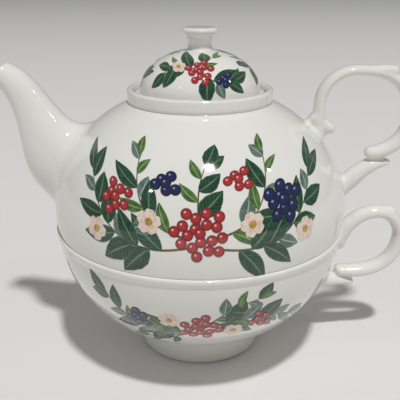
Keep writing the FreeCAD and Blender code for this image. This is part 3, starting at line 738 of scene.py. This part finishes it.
def disc_pattern(name, radius, ink):
    """One flat berry, or the eye of a blossom."""
    pick_nothing()
    bpy.ops.mesh.primitive_circle_add(
        vertices=18, radius=radius, fill_type="TRIFAN", rotation=(math.pi / 2, 0, 0)
    )
    disc = bpy.context.object
    disc.name = name
    settle(disc)
    disc.data.materials.append(INKS[ink])
    return disc


def petal_pattern(name, length, ink):
    """One round-ended petal, narrow at the middle of the blossom."""
    pick_nothing()
    bpy.ops.mesh.primitive_grid_add(x_subdivisions=6, y_subdivisions=4, size=1.0)
    petal = bpy.context.object
    petal.name = name
    for vertex in petal.data.vertices:
        along = vertex.co.x + 0.5
        half = 0.12 + 0.36 * math.sin(math.pi * min(along, 0.98) * 0.93) ** 0.7
        vertex.co = (along * length, 0.0, vertex.co.y * 2.0 * half * length)
    petal.data.materials.append(INKS[ink])
    return petal


PATTERNS = {
    "long": leaf_pattern("long", 0.0175, 0.0076, 0.05, 0.0, "leaf_deep"),
    "broad": leaf_pattern("broad", 0.0150, 0.0092, -0.04, 0.03, "leaf_deep"),
    "young": leaf_pattern("young", 0.0120, 0.0048, 0.07, 0.0, "leaf_bright"),
    "pale": leaf_pattern("pale", 0.0120, 0.0068, -0.03, 0.0, "leaf_grey"),
    "red": disc_pattern("red", 0.0020, "berry_red"),
    "navy": disc_pattern("navy", 0.0024, "berry_navy"),
    "petal_shape": petal_pattern("petal_shape", 0.0034, "petal"),
    "eye": disc_pattern("eye", 0.0011, "pollen"),
}


def stamp(kind, x, z, turn_by, size, layer):
    """One more copy of a pattern on the flat artwork."""
    copy = bpy.data.objects.new(kind, PATTERNS[kind].data.copy())
    bpy.context.scene.collection.objects.link(copy)
    spin = Matrix.Rotation(math.radians(-turn_by), 4, "Y")
    place = Matrix.Translation((x, -layer * LAYER, z)) @ spin @ Matrix.Scale(size, 4)
    copy.data.transform(place)
    return copy


def twig(points, width, layer=0):
    """A printed stem along a smooth line, thinning to its end."""
    pick_nothing()
    bpy.ops.mesh.primitive_grid_add(x_subdivisions=len(points) - 1, y_subdivisions=1, size=1.0)
    strip = bpy.context.object
    strip.name = "twig"
    last = len(points) - 1
    for vertex in strip.data.vertices:
        step = min(last, max(0, round((vertex.co.x + 0.5) * last)))
        here = points[step]
        ahead, behind = points[min(last, step + 1)], points[max(0, step - 1)]
        run = Vector((ahead[0] - behind[0], ahead[1] - behind[1])).normalized()
        half = width * (1.0 - 0.6 * step / last) * (1.0 if vertex.co.y > 0 else -1.0) / 2.0
        vertex.co = (here[0] - run.y * half, -layer * LAYER, here[1] + run.x * half)
    strip.data.materials.append(INKS["twig"])
    return strip


def curved(start, pull, end, steps):
    """Points on a line that bends once, towards a third point."""
    line = []
    for n in range(steps + 1):
        t = n / steps
        a, b, c = (1 - t) ** 2, 2 * t * (1 - t), t * t
        line.append(tuple(a * p + b * q + c * r for p, q, r in zip(start, pull, end)))
    return line


STEM_STEPS, STEM_WIDTH = 24, 0.0009


def spray(start, pull, end, leaves, kinds, size=1.0):
    """A curved stem with leaves set on it by turns left and right, and one at its tip."""
    line = curved(start, pull, end, STEM_STEPS)
    drawn = [twig(line, STEM_WIDTH * size)]
    for n in range(leaves):
        share = 0.16 + 0.78 * n / max(1, leaves - 1)
        step = round(share * STEM_STEPS)
        here, ahead = line[step], line[min(STEM_STEPS, step + 1)]
        behind = line[max(0, step - 1)]
        heading = math.degrees(math.atan2(ahead[1] - behind[1], ahead[0] - behind[0]))
        side = 1 if n % 2 else -1
        lean = side * (52 - 16 * share)
        scale = size * (1.0 - 0.32 * share) * (1.0 + 0.08 * math.sin(n * 2.7))
        kind = kinds[n % len(kinds)]
        drawn.append(stamp(kind, here[0], here[1], heading + lean, scale, 1 + n % 4))
    heading = math.degrees(math.atan2(line[-1][1] - line[-3][1], line[-1][0] - line[-3][0]))
    drawn.append(stamp(kinds[0], line[-1][0], line[-1][1], heading, size * 0.72, 5))
    return drawn


BERRY_PITCH, BERRY_TURN = 0.00217, 137.5


def cluster(kind, x, z, count, size=1.0):
    """Berries packed round each other, the middle one on top."""
    drawn = []
    for n in range(count - 1, -1, -1):
        turn_by, reach = math.radians(n * BERRY_TURN), BERRY_PITCH * size * math.sqrt(n)
        across, up = reach * math.cos(turn_by), reach * math.sin(turn_by)
        drawn.append(stamp(kind, x + across, z + up, 0, size, 8 + (count - n) % 7))
    return drawn


def blossom(x, z, turn_by, size=1.0):
    """Five petals round an eye."""
    drawn = [stamp("petal_shape", x, z, turn_by + 72 * n, size, 6 + n % 2) for n in range(5)]
    return drawn + [stamp("eye", x, z, 0, size, 9)]


def laid_on(name, drawn, radius, rise, centre, facing):
    """Joins flat artwork and lays it round a vessel's wall, facing one way, as a very thin skin."""
    print_piece = one_of(drawn)
    print_piece.name = name
    step = math.pi / 2 / QUARTER_STEPS
    lengths, angles = [0.0], [0.0]
    for n in range(QUARTER_STEPS):
        a = step * (n + 0.5)
        lengths.append(lengths[-1] + math.hypot(radius * math.sin(a), rise * math.cos(a)) * step)
        angles.append(step * (n + 1))
    for vertex in print_piece.data.vertices:
        lift = PRINT_LIFT - vertex.co.y
        up = abs(vertex.co.z)
        low, high = 0, QUARTER_STEPS
        while high - low > 1:
            middle = (low + high) // 2
            if lengths[middle] <= up:
                low = middle
            else:
                high = middle
        share = (up - lengths[low]) / (lengths[high] - lengths[low])
        angle = math.copysign(angles[low] + share * (angles[high] - angles[low]), vertex.co.z)
        reach, height = radius * math.cos(angle), rise * math.sin(angle)
        round_by = facing + vertex.co.x / reach
        point = Vector((reach * math.cos(round_by), reach * math.sin(round_by), height))
        normal = Vector((point.x / radius**2, point.y / radius**2, point.z / rise**2)).normalized()
        vertex.co = point + normal * lift + Vector((0, 0, centre))
    skin = print_piece.modifiers.new("printed_skin", "SOLIDIFY")
    skin.thickness = PRINT_THICKNESS
    skin.offset = -1.0
    hold(print_piece)
    bpy.ops.object.modifier_apply(modifier=skin.name)
    bpy.ops.object.shade_smooth_by_angle(angle=math.radians(30))
    return print_piece


def mm(*values):
    """Millimetres, as the artwork is drawn."""
    return tuple(value * 0.001 for value in values)


def pot_artwork():
    """Two branches that rise from the middle like an open wreath, with smaller ones inside them."""
    leafy, light = ["long", "broad", "long", "broad", "pale"], ["young", "pale", "long"]
    drawn = spray(mm(-3, 5), mm(-36, -3), mm(-44, 27), 11, leafy)
    drawn += spray(mm(3, 5), mm(37, -3), mm(45, 27), 11, leafy)
    drawn += spray(mm(-4, 8), mm(-27, 12), mm(-22, 37), 8, light, 0.95)
    drawn += spray(mm(4, 8), mm(28, 11), mm(23, 38), 8, light, 0.95)
    drawn += spray(mm(0, 12), mm(-2, 24), mm(2, 34), 5, ["broad", "young"], 0.85)
    drawn += cluster("red", 0.0, 0.0100, 19)
    drawn += cluster("red", -0.0315, 0.0200, 9, 0.95)
    drawn += cluster("navy", 0.0310, 0.0190, 11)
    drawn += cluster("navy", -0.0120, 0.0270, 6, 0.85)
    drawn += cluster("red", 0.0135, 0.0285, 6, 0.9)
    drawn += blossom(-0.0180, 0.0130, 10, 1.3) + blossom(0.0185, 0.0120, 40, 1.3)
    drawn += blossom(-0.0400, 0.0070, 60, 1.3) + blossom(0.0410, 0.0065, 20, 1.3)
    return drawn


def cup_artwork():
    """A branch that runs along the bowl, with berries where its two halves meet."""
    leafy = ["long", "broad", "young", "pale"]
    drawn = spray(mm(-1, -24), mm(-20, -34), mm(-38, -12), 10, leafy, 0.92)
    drawn += spray(mm(1, -24), mm(20, -15), mm(38, -25), 10, leafy, 0.92)
    drawn += spray(mm(3, -22), mm(11, -12), mm(23, -10), 6, ["young", "pale", "broad"], 0.75)
    drawn += spray(mm(-3, -26), mm(-10, -35), mm(-21, -36), 5, ["pale", "young"], 0.75)
    drawn += cluster("red", 0.0, -0.0240, 14, 0.95)
    drawn += cluster("navy", -0.0235, -0.0215, 8, 0.85)
    drawn += cluster("red", 0.0235, -0.0225, 7, 0.85)
    drawn += blossom(-0.0115, -0.0195, 15, 1.2) + blossom(0.0125, -0.0265, 45, 1.2)
    return drawn


def lid_artwork():
    """A short sprig with berries in its middle, and a small one beside it."""
    drawn = spray(mm(-1, 13), mm(-8, 19), mm(-15, 11), 6, ["long", "broad", "young"], 0.74)
    drawn += spray(mm(1, 12), mm(7, 5), mm(14, 8), 6, ["broad", "long", "pale"], 0.72)
    drawn += spray(mm(0, 13), mm(1, 17), mm(5, 21), 3, ["young", "broad"], 0.62)
    drawn += cluster("red", 0.0, 0.0125, 12, 0.72)
    drawn += cluster("navy", 0.0100, 0.0085, 5, 0.6)
    drawn += blossom(-0.0085, 0.0150, 20, 0.9)
    return drawn


prints = []
for side, facing in (("front", math.radians(-90)), ("back", math.radians(90))):
    prints.append(laid_on("pot_print_" + side, pot_artwork(), *pot_vessel, facing))
    prints.append(laid_on("cup_print_" + side, cup_artwork(), *cup_vessel, facing))
for number in range(3):
    facing = math.radians(-90 + 120 * number)
    name = "lid_print_%d" % (number + 1)
    prints.append(laid_on(name, lid_artwork(), DOME_RADIUS, DOME_RISE, datum, facing))
for pattern in PATTERNS.values():
    bpy.data.objects.remove(pattern)
for piece in prints:
    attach(piece, "root")

# The studio: a pale matt floor and a soft pale surround, one lamp high up in front for the shadows
# and two small weak ones for the glints. The camera stands where the photograph was taken from.
FLOOR_SIZE, FLOOR_DROP, FLOOR_COLOUR, FLOOR_ROUGHNESS = 16.0, 0.0002, (0.78, 0.77, 0.75), 0.8
SURROUND_COLOUR, SURROUND_STRENGTH = (0.93, 0.94, 0.95), 0.28
LAMP_AIM = Vector((0, 0, 0.07))
pick_nothing()
bpy.ops.mesh.primitive_plane_add(size=FLOOR_SIZE, location=(0, 0, -FLOOR_DROP))
floor = bpy.context.object
floor.name = "floor"
paper = bpy.data.materials.new("pale_paper")
paper.use_nodes = True
paper_skin = paper.node_tree.nodes["Principled BSDF"]
paper_skin.inputs["Base Color"].default_value = (*FLOOR_COLOUR, 1.0)
paper_skin.inputs["Roughness"].default_value = FLOOR_ROUGHNESS
floor.data.materials.append(paper)

world = bpy.data.worlds.new("soft_surround")
bpy.context.scene.world = world
world.use_nodes = True
backdrop = world.node_tree.nodes["Background"]
backdrop.inputs["Color"].default_value = (*SURROUND_COLOUR, 1.0)
backdrop.inputs["Strength"].default_value = SURROUND_STRENGTH


def soft_lamp(name, place, size, power):
    """A round lamp that looks at the middle of the set."""
    light = bpy.data.lights.new(name, "AREA")
    light.shape = "DISK"
    light.size = size
    light.energy = power
    lamp = bpy.data.objects.new(name, light)
    bpy.context.scene.collection.objects.link(lamp)
    lamp.location = place
    lamp.rotation_euler = (LAMP_AIM - Vector(place)).to_track_quat("-Z", "Y").to_euler()


soft_lamp("overhead", (0.45, -1.6, 4.2), size=0.34, power=128.0)
soft_lamp("left_glint", (-0.9, -0.9, 1.1), size=0.05, power=0.5)
soft_lamp("right_glint", (0.9, -0.2, 1.0), size=0.05, power=0.4)

camera = bpy.data.objects.new("camera", bpy.data.cameras.new("camera"))
bpy.context.scene.collection.objects.link(camera)
camera.data.sensor_width = 36.0
camera.data.lens = 55.8
camera.data.clip_start = 0.01
camera.location = (0.0, -0.2546, 0.1608)
camera.rotation_euler = (math.radians(69.47), 0.0, 0.0)
bpy.context.scene.camera = camera
bpy.context.scene.view_settings.view_transform = "Standard"
